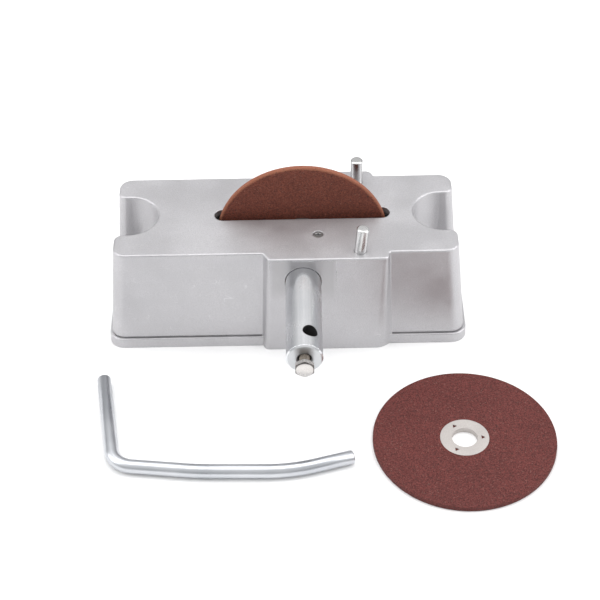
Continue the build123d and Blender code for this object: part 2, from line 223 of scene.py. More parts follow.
# %% Shader group: rubbed edges
rubbed_edges, given, result = new_group(
    "rubbed_edges", {"Radius": 0.0006}, {"Mask": "Float", "Normal": "Vector"}
)
tree = rubbed_edges
rounded = put(tree, "ShaderNodeBevel", {"Radius": given["Radius"]}, samples=6)
flat = put(tree, "ShaderNodeNewGeometry")
alike = vector(tree, "DOT_PRODUCT", rounded.outputs[0], flat.outputs["Normal"])
tree.links.new(spread(tree, maths(tree, "SUBTRACT", 1.0, alike), 0.01, 0.2), result["Mask"])
tree.links.new(rounded.outputs[0], result["Normal"])
print("rubbed_edges:", len(tree.nodes), "nodes")

# %% [markdown]
# A lathe tool leaves fine rings along a shaft. One number that runs along the axis is enough:
# a noise read along that number alone is a random row of rings.

# %% Shader group: lathe rings
lathe_rings, given, result = new_group(
    "lathe_rings", {"Along": 0.0, "Rings per metre": 4000.0}, {"Height": "Float"}
)
tree = lathe_rings
row = times(tree, given["Along"], given["Rings per metre"])
rings = put(tree, "ShaderNodeTexNoise", {"W": row, "Scale": 1.0, "Detail": 2.0}, noise_dimensions="1D")
tree.links.new(rings.outputs[0], result["Height"])
print("lathe_rings:", len(tree.nodes), "nodes")

# %% [markdown]
# Dark holes and rims are found by their distance from an axis. The cross product of a place and
# a direction of length one is as long as that distance.

# %% Shader group: distance from a line
from_line, given, result = new_group(
    "from_line", {"Where": (0.0, 0.0, 0.0), "Point": (0.0, 0.0, 0.0), "Direction": (0.0, 0.0, 1.0)},
    {"Distance": "Float"},
)
tree = from_line
offset = vector(tree, "SUBTRACT", given["Where"], given["Point"])
crossed = vector(tree, "CROSS_PRODUCT", offset, given["Direction"])
tree.links.new(vector(tree, "LENGTH", crossed), result["Distance"])
print("from_line:", len(tree.nodes), "nodes")

# %% [markdown]
# Each finish starts the same way: a Principled shader with the sockets that stay constant, and
# the Object coordinates, which are metres in the machine's own frame.


# %% Starting a finish
def new_finish(name, **constants):
    material = bpy.data.materials.new(name)
    material.use_nodes = True
    tree = material.node_tree
    shader = tree.nodes["Principled BSDF"]
    for label, value in constants.items():
        shader.inputs[label.replace("_", " ")].default_value = value
    where = put(tree, "ShaderNodeTexCoord").outputs["Object"]
    return material, tree, shader.inputs, where


def bump(tree, height, depth, strength=1.0, normal=None):
    inputs = {"Height": height, "Distance": depth, "Strength": strength}
    if normal is not None:
        inputs["Normal"] = normal
    return put(tree, "ShaderNodeBump", inputs).outputs[0]


def grain_of(tree, where, per_metre):
    return place_group(tree, blasted_grain, Where=where, Grains_per_metre=per_metre)


def edges_of(tree, radius):
    return place_group(tree, rubbed_edges, Radius=radius)


def link_maps(name, tree, surface, colour, rough, normal):
    for label, output in (("Base Color", colour), ("Roughness", rough), ("Normal", normal)):
        tree.links.new(output, surface[label])
    print(name + ":", len(tree.nodes), "nodes")


print("finishes can start")

# %% [markdown]
# The table is die-cast aluminium, blasted to a silver grey. It is half metal and half dull oxide,
# so it is neither a mirror nor paint. Fine grain carries the look, with faint cloudy patches,
# a few hairlines from work sliding on it, and brighter rubbed edges. The square round the spindle
# was skimmed with a milling cutter, which leaves shallow arcs, so a soft box mask swaps the grain
# for arcs there. Inside, a few millimetres below the table, shade is painted into the casting: it
# goes nearly black there, and is made less metallic and duller.

# %% Finish: blasted cast aluminium
cast_aluminium, tree, surface, where = new_finish("cast_aluminium", IOR=1.5)
grain = grain_of(tree, where, 1900.0)
lines = place_group(tree, hairlines, Where=where, Stretch=(60.0, 330.0, 60.0), Width=0.009)
edges = edges_of(tree, 0.0007)
split = parts(tree, where)


def inside(value, low, high, soft):
    """One between low and high, nought outside, with soft borders."""
    rise = spread(tree, value, low - soft, low + soft)
    return times(tree, rise, spread(tree, value, high - soft, high + soft, 1.0, 0.0))


spindle_joint = next(j for j in frame["joints"] if j["name"] == "spindle_spin")
spindle_x, _, spindle_z = spindle_joint["pos_m"]
mill_half, mill_low, mill_high, mill_soft = 0.0176, 0.0348, 0.0640, 0.0012
boss_face, room_half_x, room_half_y = -0.0386, 0.0670, 0.0290
in_x = inside(split[0], spindle_x - mill_half, spindle_x + mill_half, mill_soft)
in_y = spread(tree, split[1], boss_face - 0.0002, boss_face + 0.0002, 1.0, 0.0)
from_below = spread(tree, split[2], mill_low - 0.001, mill_low + 0.012)
to_top = spread(tree, split[2], mill_high - mill_soft, mill_high + mill_soft, 1.0, 0.0)
milled = times(tree, in_x, times(tree, from_below, to_top), in_y)
cutter = vector(tree, "DISTANCE", where, (spindle_x, 0.0, spindle_z))
arcs = place_group(tree, lathe_rings, Along=cutter, Rings_per_metre=2600.0)["Height"]

# Painted shade: inside the casting, from a few millimetres below the table down, the colour goes nearly
# black; it is also less metallic and duller there.
table_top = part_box("housing")[1].z
room_x = inside(split[0], -room_half_x, room_half_x, 0.0008)
room_y = inside(split[1], -room_half_y, room_half_y, 0.001)
room_z = spread(tree, split[2], table_top - 0.0048, table_top - 0.0012, 1.0, 0.0)
painted_shade_inside = times(tree, room_x, room_y, room_z)

grey = blend(tree, grain["Patches"], (0.505, 0.499, 0.514, 1), (0.580, 0.573, 0.589, 1))
grey = lay_over(
    tree, grey,
    (grain["Speckle"], 0.45, (0.41, 0.405, 0.415, 1)),
    (lines["Mask"], 0.35, (0.74, 0.735, 0.745, 1)),
    (edges["Mask"], 0.55, (0.76, 0.755, 0.76, 1)),
    (milled, 0.65, (0.38, 0.372, 0.378, 1)),
    (painted_shade_inside, 0.93, (0.012, 0.011, 0.011, 1)),
)
tree.links.new(maths(tree, "MULTIPLY_ADD", painted_shade_inside, -0.60, 0.78), surface["Metallic"])
rough = spread(tree, grain["Patches"], 0.0, 1.0, 0.37, 0.45)
rough = maths(tree, "SUBTRACT", rough, times(tree, edges["Mask"], 0.12))
rough = maths(tree, "SUBTRACT", rough, times(tree, milled, 0.08))
rough = maths(tree, "MULTIPLY_ADD", painted_shade_inside, 0.35, rough)
grain_height = times(tree, grain["Height"], maths(tree, "SUBTRACT", 1.0, milled))
arc_height = times(tree, arcs, times(tree, milled, 0.25))
heights = maths(tree, "ADD", grain_height, arc_height)
heights = maths(tree, "SUBTRACT", heights, times(tree, lines["Mask"], 0.12))
normal = bump(tree, heights, 0.00016, 0.7, edges["Normal"])
link_maps("cast_aluminium", tree, surface, grey, rough, normal)

# %% [markdown]
# Zinc plating is bright, a little blue and slightly cloudy. The drawn bar under it shows as fine
# lines that run along the shaft or the rod. A number stored on the mesh would follow the bent
# rod, while the straight spindle can use its Y coordinate, so the finish is made by a function
# that is told how to find "along" and "across". On the spindle, shade is painted inside the
# cross-hole, and round the bolt's seat a painted shadow and dark reflection of its head; both are
# duller too. Its sawn front face is duller than the drawn skin and darkened with painted shade.


# %% Finish: zinc plate
def zinc_plate(name, follow_rod, pale, cloudy, streaked, dull):
    material, tree, surface, where = new_finish(name, Metallic=1.0, Specular_IOR_Level=0.5)
    grain = grain_of(tree, where, 900.0)
    path = where
    if follow_rod:
        along = put(tree, "ShaderNodeAttribute", attribute_name="along").outputs["Fac"]
        around = put(tree, "ShaderNodeAttribute", attribute_name="around").outputs["Fac"]
        path = put(tree, "ShaderNodeCombineXYZ", {0: times(tree, around, 0.025), 1: along}).outputs[0]
    drawn = vector(tree, "MULTIPLY", path, (900.0, 14.0, 900.0))
    streaks = put(tree, "ShaderNodeTexNoise", {"Vector": drawn, "Scale": 1.0, "Detail": 3.0}).outputs[0]
    edges = edges_of(tree, 0.0003)
    colour = blend(tree, grain["Patches"], cloudy, pale)
    colour = blend(tree, spread(tree, streaks, 0.35, 0.7, 0.0, 0.3), colour, streaked)
    colour = lay_over(tree, colour, (edges["Mask"], 0.5, (0.9, 0.905, 0.91, 1)))
    rough = spread(tree, grain["Patches"], 0.0, 1.0, dull, dull + 0.08)
    rough = maths(tree, "MULTIPLY_ADD", streaks, 0.08, rough)
    if not follow_rod:
        # Painted shade inside the cross-hole, and a painted shadow and dark reflection of the bolt's head
        # round its seat and down its bore; both are also made duller.
        hole = place_group(tree, from_line, Where=where, Point=hole_point, Direction=hole_direction)
        in_hole = spread(tree, hole["Distance"], hole_radius + 0.00003, hole_radius + 0.00045, 1.0, 0.0)
        seat = place_group(tree, from_line, Where=where, Point=spindle_axis_point, Direction=to_back)
        in_seat = spread(tree, seat["Distance"], 0.0031, 0.0058, 1.0, 0.0)
        depth = parts(tree, where)[1]
        past_face = spread(tree, depth, spindle_front + 0.0002, spindle_front + 0.0012, 0.55, 1.0)
        before_end = spread(tree, depth, spindle_front + 0.022, spindle_front + 0.024, 1.0, 0.0)
        in_seat = times(tree, in_seat, times(tree, past_face, before_end))
        # Painted shade: the front face is darkened; it is also given a duller finish.
        front_face_shade_and_finish = spread(tree, depth, spindle_front + 0.0001, spindle_front + 0.0006, 0.8, 0.0)
        colour = blend(tree, front_face_shade_and_finish, colour, (0.56, 0.57, 0.58, 1))
        rough = maths(tree, "MULTIPLY_ADD", front_face_shade_and_finish, 0.15, rough)
        dark = maths(tree, "MAXIMUM", in_hole, in_seat)
        colour = lay_over(tree, colour, (dark, 0.94, (0.035, 0.033, 0.031, 1)))
        rough = maths(tree, "MULTIPLY_ADD", dark, 0.45, rough)
    heights = maths(tree, "MULTIPLY_ADD", grain["Height"], 0.2, streaks)
    normal = bump(tree, heights, 0.000002, 0.2, edges["Normal"])
    link_maps(name, tree, surface, colour, rough, normal)
    return material


to_back = (0.0, 1.0, 0.0)
spindle_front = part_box("spindle")[0].y
spindle_axis_point = (spindle_x, spindle_front, spindle_z)
hole_point = (spindle_x, spindle_front + 0.0124, spindle_z)
hole_radius, hole_lean = 0.0041, math.radians(20.5)
hole_direction = (math.sin(hole_lean), 0.0, math.cos(hole_lean))
zinc_spindle = zinc_plate(
    "zinc_spindle", False, (0.84, 0.845, 0.855, 1), (0.74, 0.755, 0.775, 1), (0.62, 0.64, 0.67, 1), 0.16
)
zinc_rod = zinc_plate(
    "zinc_rod", True, (0.64, 0.655, 0.68, 1), (0.54, 0.56, 0.59, 1), (0.40, 0.42, 0.45, 1), 0.24
)

# %% [markdown]
# The steady pins, washers and small screws are bright turned steel. Turned pieces carry a number
# called "along", measured up their own axis, so the lathe rings stay square to a leaning pin.

# %% Finish: bright turned steel
bright_steel, tree, surface, where = new_finish("bright_steel", Metallic=1.0)
along = put(tree, "ShaderNodeAttribute", attribute_name="along").outputs["Fac"]
rings = place_group(tree, lathe_rings, Along=along, Rings_per_metre=3600.0)["Height"]
grain = grain_of(tree, where, 1300.0)
edges = edges_of(tree, 0.00025)
lines = place_group(tree, hairlines, Where=where, Stretch=(120.0, 120.0, 30.0), Width=0.02)
colour = blend(tree, grain["Patches"], (0.58, 0.58, 0.575, 1), (0.68, 0.68, 0.675, 1))
colour = lay_over(
    tree, colour,
    (rings, 0.18, (0.60, 0.60, 0.605, 1)),
    (lines["Mask"], 0.4, (0.9, 0.9, 0.9, 1)),
)
rough = spread(tree, grain["Patches"], 0.0, 1.0, 0.20, 0.26)
rough = maths(tree, "MULTIPLY_ADD", rings, 0.06, rough)
heights = maths(tree, "MULTIPLY_ADD", grain["Height"], 0.15, rings)
normal = bump(tree, heights, 0.000004, 0.4, edges["Normal"])
link_maps("bright_steel", tree, surface, colour, rough, normal)

# %% [markdown]
# The set screw is black-oxided steel: nearly black, a little oily, with bare metal at its edges.

# %% Finish: blackened steel
black_steel, tree, surface, where = new_finish("black_steel", Metallic=0.9)
grain = grain_of(tree, where, 1500.0)
edges = edges_of(tree, 0.0002)
colour = blend(tree, grain["Patches"], (0.20, 0.20, 0.205, 1), (0.30, 0.295, 0.29, 1))
colour = lay_over(tree, colour, (edges["Mask"], 0.35, (0.50, 0.50, 0.50, 1)))
rough = spread(tree, grain["Speckle"], 0.0, 1.0, 0.32, 0.45)
normal = bump(tree, grain["Height"], 0.00002, 0.5, edges["Normal"])
link_maps("black_steel", tree, surface, colour, rough, normal)

# %% [markdown]
# The hexagon bolt in the spindle has a slightly warm nickel plate, smoother than the zinc. Painted
# shade darkens the bevel round its face, as a dark reflection, and its thread is darker and browner.


# %% Finish: nickel plate
def nickel(name, pale, deep, bevel_from):
    material, tree, surface, where = new_finish(name, Metallic=1.0)
    grain = grain_of(tree, where, 1500.0)
    edges = edges_of(tree, 0.0003)
    colour = blend(tree, grain["Patches"], deep, pale)
    colour = lay_over(tree, colour, (edges["Mask"], 0.3, (0.86, 0.85, 0.82, 1)))
    axis = place_group(tree, from_line, Where=where, Point=spindle_axis_point, Direction=to_back)
    depth = parts(tree, where)[1]
    # Painted reflection: a dark ring on the bevel round the head's face, only near the face.
    at_bevel = spread(tree, axis["Distance"], bevel_from, bevel_from + 0.00015)
    near_face = spread(tree, depth, bolt_front + 0.0007, bolt_front + 0.0011, 0.85, 0.0)
    colour = lay_over(tree, colour, (at_bevel, near_face, (0.06, 0.055, 0.05, 1)))
    rough = spread(tree, grain["Speckle"], 0.0, 1.0, 0.24, 0.34)
    normal = bump(tree, grain["Height"], 0.00001, 0.4, edges["Normal"])
    link_maps(name, tree, surface, colour, rough, normal)
    return material


bolt_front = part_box("clamp_bolt")[0].y
nickel_plate = nickel("nickel_plate", (0.74, 0.715, 0.70, 1), (0.62, 0.595, 0.575, 1), 0.00462)
nickel_thread = nickel("nickel_thread", (0.34, 0.30, 0.25, 1), (0.20, 0.175, 0.15, 1), 0.02)

# %% [markdown]
# The hub rings are stamped sheet steel, pale and satin, with a fine all-over grain. The fitted
# disc's rings are covered nearly all over in a very dark red-brown, duller and less metallic, so
# the function takes how much of that darkening covers them.


# %% Finish: satin ring steel
def satin_ring(name, darkening):
    material, tree, surface, where = new_finish(name, Metallic=0.8 - 0.7 * darkening)
    grain = grain_of(tree, where, 1900.0)
    edges = edges_of(tree, 0.0002)
    colour = blend(tree, grain["Patches"], (0.52, 0.49, 0.47, 1), (0.62, 0.585, 0.56, 1))
    colour = lay_over(tree, colour, (grain["Speckle"], 0.4, (0.42, 0.39, 0.37, 1)))
    # A very dark red-brown is laid over the ring in patches, by the share of darkening.
    cover = spread(tree, grain["Patches"], 0.0, 1.0, darkening, 0.8 * darkening)
    colour = blend(tree, cover, colour, (0.055, 0.018, 0.013, 1))
    rough = spread(tree, grain["Speckle"], 0.0, 1.0, 0.38 + 0.4 * darkening, 0.50 + 0.4 * darkening)
    normal = bump(tree, grain["Height"], 0.00004, 0.5, edges["Normal"])
    link_maps(name, tree, surface, colour, rough, normal)
    return material


ring_steel = satin_ring("ring_steel", 0.0)
dusty_steel = satin_ring("dusty_steel", 0.95)

# %% [markdown]
# The plain bearings are sintered bronze: brown-gold, dull, and full of tiny oil pores. The pores
# are the middles of small cells, darkened and pressed in.

# %% Finish: sintered bronze
sintered_bronze, tree, surface, where = new_finish("sintered_bronze", Metallic=0.9)
grain = grain_of(tree, where, 1600.0)
pores = put(tree, "ShaderNodeTexVoronoi", {"Vector": where, "Scale": 2600.0}).outputs["Distance"]
pores = spread(tree, pores, 0.12, 0.3, 1.0, 0.0)
colour = blend(tree, grain["Patches"], (0.30, 0.24, 0.17, 1), (0.40, 0.32, 0.22, 1))
colour = lay_over(tree, colour, (pores, 0.8, (0.10, 0.06, 0.04, 1)))
rough = spread(tree, grain["Speckle"], 0.0, 1.0, 0.40, 0.55)
normal = bump(tree, maths(tree, "SUBTRACT", grain["Height"], pores), 0.00006, 0.7)
link_maps("sintered_bronze", tree, surface, colour, rough, normal)

# %% [markdown]
# The discs are brown aluminium oxide in resin: dark red-brown, dull, speckled grain by grain with
# a few pale and a few nearly black grains. Cells of the grain's size get each their own shade
# from their random colour. The rim, where grinding has opened the resin, is lighter and more
# orange, so the finish takes the disc's centre and axis, and mixes by the distance from them.


# %% Finish: bonded abrasive
def bonded_abrasive(name, centre, axis, rim_from, face_dark, face_light, rim):
    material, tree, surface, where = new_finish(name, IOR=1.45, Specular_IOR_Level=0.35)
    cells = put(tree, "ShaderNodeTexVoronoi", {"Vector": where, "Scale": 1900.0})
    shade = put(tree, "ShaderNodeSeparateColor", {0: cells.outputs["Color"]}).outputs
    grain = grain_of(tree, where, 1300.0)
    colour = blend(tree, shade[0], face_dark, face_light)
    colour = lay_over(tree, colour, (grain["Speckle"], 0.25, face_dark), (grain["Patches"], 0.15, face_dark))
    from_centre = vector(tree, "SUBTRACT", where, centre)
    flattened = vector(tree, "MULTIPLY", from_centre, [1.0 - a for a in axis])
    radius = vector(tree, "LENGTH", flattened)
    radius = maths(tree, "MULTIPLY_ADD", grain["Height"], 0.0012, radius)
    at_rim = spread(tree, radius, rim_from, rim_from + 0.0007)
    rim_colour = lay_over(tree, rim, (shade[1], 0.6, face_light))
    colour = blend(tree, at_rim, colour, rim_colour)
    pale, black = spread(tree, shade[2], 0.975, 0.99), spread(tree, shade[1], 0.05, 0.02)
    colour = lay_over(
        tree, colour, (pale, 0.16, (0.42, 0.28, 0.23, 1)), (black, 0.6, (0.03, 0.018, 0.015, 1))
    )
    rough = spread(tree, shade[2], 0.0, 1.0, 0.62, 0.86)
    grains = spread(tree, cells.outputs["Distance"], 0.0, 0.6, 1.0, 0.0)
    heights = maths(tree, "MULTIPLY_ADD", grain["Height"], 0.5, grains)
    link_maps(name, tree, surface, colour, rough, bump(tree, heights, 0.00018, 0.8))
    return material


disc_low, disc_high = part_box("fitted_disc")
fitted_centre = (disc_low + disc_high) / 2
fitted_radius = (disc_high.x - disc_low.x) / 2
disc_thick = disc_high.y - disc_low.y
spare_low, spare_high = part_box("spare_disc")
spare_centre = (spare_low + spare_high) / 2
spare_radius = (spare_high.x - spare_low.x) / 2
worn_abrasive = bonded_abrasive(
    "worn_abrasive", fitted_centre, (0.0, 1.0, 0.0), fitted_radius - 0.0009,
    (0.088, 0.026, 0.017, 1), (0.235, 0.066, 0.041, 1), (0.30, 0.118, 0.068, 1),
)
new_abrasive = bonded_abrasive(
    "new_abrasive", spare_centre, (0.0, 0.0, 1.0), spare_radius + 0.001,
    (0.066, 0.016, 0.014, 1), (0.178, 0.044, 0.039, 1), (0.13, 0.042, 0.036, 1),
)

# %% [markdown]
# Round pieces come off a lathe, so they are made like that here: a profile of radii and heights
# is carried round the axis. A radius or a height may also be a function of the angle, and that
# turns the same helper into a maker of hexagon heads and sockets. Each point remembers how far
# along the axis it lies, for the lathe rings of the finish.


# %% Helper: turned pieces
def turned(name, profile, closed=False, around=96):
    """Carry a profile of (radius, height) round Z. A closed profile makes a ring."""
    mesh = bpy.data.meshes.new(name)
    points, rows, along = [], [], []
    for radius, height in profile:
        if not callable(radius) and radius == 0:
            rows.append([len(points)])
            points.append((0, 0, height))
            along.append(height)
            continue
        rows.append(list(range(len(points), len(points) + around)))
        for step in range(around):
            angle = 2 * math.pi * step / around
            r = radius(angle) if callable(radius) else radius
            z = height(angle) if callable(height) else height
            points.append((r * math.cos(angle), r * math.sin(angle), z))
            along.append(z + r)
    faces = []
    pairs = list(zip(rows, rows[1:])) + ([(rows[-1], rows[0])] if closed else [])
    for lower, upper in pairs:
        for step in range(around):
            after = (step + 1) % around
            a, b = lower[step % len(lower)], lower[after % len(lower)]
            c, d = upper[after % len(upper)], upper[step % len(upper)]
            corners = [a] if a == b else [a, b]
            corners += [c] if c == d else [c, d]
            faces.append(corners)
    mesh.from_pydata(points, [], faces)
    mesh.attributes.new("along", "FLOAT", "POINT").data.foreach_set("value", along)
    return smooth(mesh)


def smooth(mesh, angle=32):
    """Merge doubles, point the faces outwards, and shade smooth up to an angle."""
    work = bmesh.new()
    work.from_mesh(mesh)
    bmesh.ops.remove_doubles(work, verts=work.verts, dist=1e-7)
    bmesh.ops.recalc_face_normals(work, faces=work.faces)
    if work.calc_volume(signed=True) < 0:
        bmesh.ops.reverse_faces(work, faces=work.faces)
    work.to_mesh(mesh)
    work.free()
    mesh.shade_smooth()
    mesh.set_sharp_from_angle(angle=math.radians(angle))
    return mesh


def hexagon(across):
    """Radius of a hexagon with this width across its flats, at an angle."""
    return lambda angle: across / 2 / math.cos((angle + math.pi / 6) % (math.pi / 3) - math.pi / 6)


def show(mesh, name, body, finish=None, replaces=(), at=None):
    """Make the mesh a finished piece: in its place, with its finish, on its body."""
    if at is not None:
        mesh.transform(at)
    mesh.update()
    if finish is not None:
        mesh.materials.clear()
        mesh.materials.append(finish)
    piece = bpy.data.objects.new(name, mesh)
    bpy.context.scene.collection.objects.link(piece)
    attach(piece, body)
    if replaces:
        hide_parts(*replaces)
    size = [round(1000 * v, 1) for v in piece.dimensions]
    print(name + ":", len(mesh.polygons), "faces,", size, "mm")
    return piece


def facing_front(place):
    """Move what was made round Z to a place, with its top to the front."""
    return Matrix.Translation(place) @ Matrix.Rotation(math.pi / 2, 4, "X")


print("turning helpers ready")

# %% [markdown]
# The carried-over solids already have the right shape: the casting, the spindle, the bearings,
# the washers and the hub rings. They only need their finish.

# %% Finishes for the carried-over solids
nodes_of = {
    cast_aluminium: ["housing"],
    zinc_spindle: ["spindle", "clamp_washer"],
    sintered_bronze: ["front_bush", "rear_bush"],
    bright_steel: ["thrust_washer", "retaining_pin"],
    dusty_steel: ["fitted_ring_front", "fitted_ring_rear"],
    ring_steel: ["spare_ring_lower", "spare_ring_upper"],
}
for finish, nodes in nodes_of.items():
    for node in nodes:
        slots = frame["nodes"][node].data.materials
        slots.clear()
        slots.append(finish)
print("dressed", sum(map(len, nodes_of.values())), "solids")

# %% [markdown]
# A steady pin is ground rod with a bevel on each end and a faintly crowned top. Its place comes
# from its solid's box: the leaning one leans in X only, so its depth is still its diameter.


# %% Steady pins
def steady_pin(node, axis):
    low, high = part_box(node)
    axis = Vector(axis).normalized()
    radius = (high.y - low.y) / 2
    length = (high.z - low.z - 2 * radius * abs(axis.x)) / axis.z
    bevel, ease = 0.0007, 0.00012
    half = length / 2
    profile = [
        (0, -half), (radius - bevel, -half), (radius, bevel - half),
        (radius, half - bevel - ease), (radius - 0.2 * ease, half - bevel),
        (radius - bevel + ease, half - 1.2 * ease), (radius - bevel - ease, half - 0.5 * ease),
        (radius * 0.5, half - 0.1 * ease), (0, half),
    ]
    turn = Vector((0, 0, 1)).rotation_difference(axis).to_matrix().to_4x4()
    at = Matrix.Translation((low + high) / 2) @ turn
    show(turned(node, profile), node + "_turned", node, bright_steel, [node], at)


for joint in frame["joints"]:
    if joint["child"] in ("front_pin", "rear_pin"):
        steady_pin(joint["child"], joint["axis"])

# %% [markdown]
# A screw thread is a ridge that climbs one pitch for each turn. In Geometry Nodes a cylinder with
# many rows of points is enough: the phase of a point is its height in pitches minus its share of
# a turn, and the radius follows a soft triangle of that phase. The ridge fades out at both ends,
# so the ends stay round and closed. The same tree cuts the bolt and the small socket screw.


# %% Geometry Nodes: screw thread
def new_shape_tree(name, inputs):
    tree = bpy.data.node_groups.new(name, "GeometryNodeTree")
    tree.interface.new_socket(name="Geometry", in_out="INPUT", socket_type="NodeSocketGeometry")
    name_inputs(tree, inputs)
    tree.interface.new_socket(name="Geometry", in_out="OUTPUT", socket_type="NodeSocketGeometry")
    return tree, put(tree, "NodeGroupInput").outputs, put(tree, "NodeGroupOutput").inputs


def end_with(tree, geometry, material, result):
    realized = put(tree, "GeometryNodeRealizeInstances", {"Geometry": geometry})
    finished = put(tree, "GeometryNodeSetMaterial", {
        "Geometry": realized, "Material": material,
    })
    tree.links.new(finished.outputs[0], result["Geometry"])


def grow(tree, values, start=None):
    """Run a tree on a mesh with these inputs, and give the result as a plain mesh."""
    holder = bpy.data.objects.new(tree.name, start or bpy.data.meshes.new(tree.name))
    bpy.context.scene.collection.objects.link(holder)
    modifier = holder.modifiers.new(tree.name, "NODES")
    modifier.node_group = tree
    for item in tree.interface.items_tree:
        if item.item_type == "SOCKET" and item.in_out == "INPUT" and item.name in values:
            modifier[item.identifier] = values[item.name]
    evaluated = holder.evaluated_get(bpy.context.evaluated_depsgraph_get())
    grown = bpy.data.meshes.new_from_object(evaluated)
    holder.modifiers.remove(modifier)
    bpy.data.objects.remove(holder)
    return grown


thread, given, result = new_shape_tree("screw_thread", {
    "Radius": 0.003, "Pitch": 0.001, "Depth": 0.0005,
    "Length": 0.012, "Rows": 96, "Around": 40, "Material": None,
})
rod = put(thread, "GeometryNodeMeshCylinder", {
    "Vertices": given["Around"], "Side Segments": given["Rows"], "Radius": given["Radius"],
    "Depth": given["Length"],
}, fill_type="NGON")
here = parts(thread, put(thread, "GeometryNodeInputPosition").outputs[0])
share = maths(thread, "DIVIDE", maths(thread, "ARCTAN2", here[1], here[0]), 2 * math.pi)
pitches = maths(thread, "DIVIDE", here[2], given["Pitch"])
phase = maths(thread, "FRACT", maths(thread, "SUBTRACT", pitches, share))
ridge = spread(thread, maths(thread, "ABSOLUTE", maths(thread, "SUBTRACT", phase, 0.5)), 0.06, 0.44)
half_length = times(thread, given["Length"], 0.5)
to_end = maths(thread, "SUBTRACT", half_length, maths(thread, "ABSOLUTE", here[2]))
fade = spread(thread, maths(thread, "DIVIDE", to_end, given["Pitch"]), 0.0, 0.9)
groove = times(thread, maths(thread, "SUBTRACT", 1.0, times(thread, ridge, fade)), given["Depth"])
shrink = maths(thread, "SUBTRACT", 1.0, maths(thread, "DIVIDE", groove, given["Radius"]))
scaled = put(thread, "ShaderNodeCombineXYZ", {
    0: times(thread, here[0], shrink), 1: times(thread, here[1], shrink), 2: here[2],
})
cut = put(thread, "GeometryNodeSetPosition", {
    "Geometry": rod.outputs["Mesh"], "Position": scaled,
})
end_with(thread, cut.outputs[0], given["Material"], result)
print("screw_thread:", len(thread.nodes), "nodes")

# %% [markdown]
# The bolt's head is a hexagon whose corners were turned off by a cone, which leaves the curved
# scallops that every bolt head has. The height of the sides is therefore a function of the angle.
# A plain neck joins the head to the thread.

# %% Clamp bolt
bolt_low, bolt_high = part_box("clamp_bolt")
across, head_thick, shank_radius = 0.010, 0.004, 0.003
crown = across / 2 - 0.00045
side = hexagon(across - 0.00004)
past_crown = lambda angle: max(0.0, side(angle) - crown)
head_profile = [
    (0, 0), (crown - 0.00025, 0), (crown, 0.0001), (side, lambda angle: 0.0004 + 0.6 * past_crown(angle)),
    (side, lambda angle: head_thick - 0.00015 - 0.62 * past_crown(angle)),
    (crown, head_thick - 0.0001), (crown - 0.0003, head_thick), (0, head_thick),
]
to_front = facing_front((spindle_x, bolt_front + head_thick, spindle_z))
if bolt_high.z - bolt_low.z > bolt_high.x - bolt_low.x:
    to_front = to_front @ Matrix.Rotation(math.pi / 6, 4, "Z")
head = turned("clamp_bolt_head", head_profile, around=120)
show(head, "clamp_bolt_head", "clamp_bolt", nickel_plate, ["clamp_bolt"], to_front)

shank = bolt_high.y - bolt_front - head_thick + 0.0004
bolt_thread = grow(thread, {
    "Radius": shank_radius, "Pitch": 0.001, "Depth": 0.00052, "Length": shank, "Rows": 110,
    "Material": nickel_thread,
})
along_bolt = facing_front((spindle_x, bolt_high.y - shank / 2, spindle_z))
show(smooth(bolt_thread, 50), "clamp_bolt_thread", "clamp_bolt", None, (), along_bolt)

# %% [markdown]
# The little screw beside the pin is a socket set screw, sunk a hair below the table. Its socket
# is a hexagon that starts inside a round chamfer and ends in the point that the drill left.

# %% Socket set screw
screw_low, screw_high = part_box("retaining_screw")
screw_radius = (screw_high.x - screw_low.x) / 2
screw_long = screw_high.z - screw_low.z
root, wall, thread_long = screw_radius - 0.0005, hexagon(0.003), screw_long - 0.0012
screw_profile = [
    (0, 0.0001), (screw_radius * 0.6, 0.0001), (screw_radius * 0.66, 0.0), (screw_radius * 0.82, 0.0),
    (root, 0.0004), (root, screw_long - 0.0009), (screw_radius, screw_long - 0.0006),
    (screw_radius, screw_long - 0.00035), (screw_radius - 0.0003, screw_long - 0.00004),
    (root, screw_long), (0.00185, screw_long), (wall, screw_long - 0.0003),
    (wall, screw_long - 0.0023), (0.0012, screw_long - 0.0024), (0, screw_long - 0.0029),
]
screw_middle = (screw_low + screw_high) / 2
at_screw = Matrix.Translation((screw_middle.x, screw_middle.y, screw_low.z))
screw = turned("set_screw", screw_profile, around=72)
show(screw, "set_screw", "casting", black_steel, ["retaining_screw"], at_screw)
screw_thread = grow(thread, {
    "Radius": screw_radius, "Pitch": 0.001, "Depth": 0.0005, "Length": thread_long, "Rows": 60,
    "Material": black_steel,
})
at_thread = at_screw @ Matrix.Translation((0, 0, thread_long / 2))
show(smooth(screw_thread, 50), "set_screw_thread", "casting", None, (), at_thread)

# %% [markdown]
# The nut behind the disc is a hexagon chamfered on both faces, with a countersink at each end of
# its bore. A closed profile makes it in one go.

